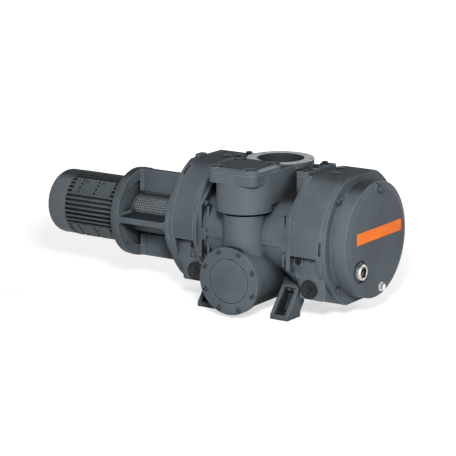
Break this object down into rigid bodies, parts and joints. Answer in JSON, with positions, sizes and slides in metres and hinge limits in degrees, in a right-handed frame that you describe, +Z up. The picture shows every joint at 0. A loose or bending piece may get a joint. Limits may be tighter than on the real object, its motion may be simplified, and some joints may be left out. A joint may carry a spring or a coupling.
{
  "type": "roots vacuum pump",
  "caption": "Roots vacuum pump with lobed rotors on timing gears, bypass valve column, cast feet and a flange motor on an open coupling lantern.",
  "frame": {"origin": "on the mounting plane, midway between the four foot bolt holes", "axes": "+X along the rotor shafts towards the timing gears (motor at -X), -Y the front with the valve column and the outlet, +Z up"},
  "size_m": [1.243, 0.5374, 0.498],
  "materials": {
    "pump_paint": "satin dark blue-grey paint on cast iron",
    "motor_paint": "satin dark grey paint",
    "plated_steel": "zinc plated",
    "machined_steel": "machined",
    "cast_iron": "machined cast iron",
    "black_plastic": "matt black",
    "rubber": "matt",
    "glass": "clear",
    "oil": "amber oil seen through the window",
    "orange_label": "bare orange strip"
  },
  "bodies": {
    "pump_body": {"pump_casing": "pump_paint", "housing_screws": "plated_steel", "gear_end_housing": "pump_paint", "drive_end_housing": "pump_paint", "front_foot_gear_end": "pump_paint", "back_foot_gear_end": "pump_paint", "front_foot_drive_end": "pump_paint", "back_foot_drive_end": "pump_paint", "foot_screws": "plated_steel", "valve_lid": "pump_paint", "lid_screws": "plated_steel", "outlet_blank": "pump_paint", "outlet_screws": "plated_steel", "gear_cover": "pump_paint", "cover_screws": "plated_steel", "sight_glass_ring": "plated_steel", "sight_glass_window": "glass", "sight_glass_oil": "oil", "oil_plugs": "plated_steel", "socket_plugs": "black_plastic", "round_plugs": "black_plastic", "top_plugs": "black_plastic", "label_plate": "orange_label", "bearing_outer_rings": "machined_steel", "bearing_rollers": "machined_steel", "bearing_retainers": "machined_steel", "chamber_shaft_seals": "rubber", "input_shaft_seal": "rubber", "coupling_lantern": "pump_paint", "lantern_screws": "plated_steel", "coupling_guard": "machined_steel", "motor_end_shield": "motor_paint", "motor_screws": "plated_steel", "motor_frame": "motor_paint", "motor_rear_shield": "motor_paint", "motor_bearings": "machined_steel", "motor_stator": "machined_steel", "fan_cowl": "motor_paint", "terminal_box": "motor_paint", "terminal_lid": "motor_paint", "terminal_board": "black_plastic", "cable_gland": "black_plastic"},
    "drive_train": {"drive_rotor": "cast_iron", "drive_shaft": "machined_steel", "drive_timing_gear": "machined_steel", "drive_gear_nut": "machined_steel", "drive_bearing_inner_rings": "machined_steel", "pump_coupling_hub": "cast_iron", "coupling_spider": "rubber", "motor_coupling_hub": "cast_iron", "motor_shaft": "machined_steel", "motor_rotor": "machined_steel", "motor_fan": "black_plastic"},
    "driven_train": {"driven_rotor": "cast_iron", "driven_shaft": "machined_steel", "driven_timing_gear": "machined_steel", "driven_gear_nut": "machined_steel", "driven_bearing_inner_rings": "machined_steel", "oil_splash_disc": "machined_steel"},
    "bypass": {"bypass_valve": "machined_steel"}
  },
  "joints": [
    {"name": "drive_shaft_spin", "type": "hinge", "parent": "pump_body", "child": "drive_train", "pos_m": [0, -0.08, 0.256], "axis": [1, 0, 0], "continuous": true},
    {"name": "driven_shaft_spin", "type": "hinge", "parent": "pump_body", "child": "driven_train", "pos_m": [0, 0.08, 0.256], "axis": [1, 0, 0], "continuous": true},
    {"name": "bypass_lift", "type": "slide", "parent": "pump_body", "child": "bypass", "axis": [0, 0, 1], "range_m": [0, 0.025]}
  ],
  "couplings": [
    {"joint": "driven_shaft_spin", "follows": "drive_shaft_spin", "ratio": -1}
  ]
}
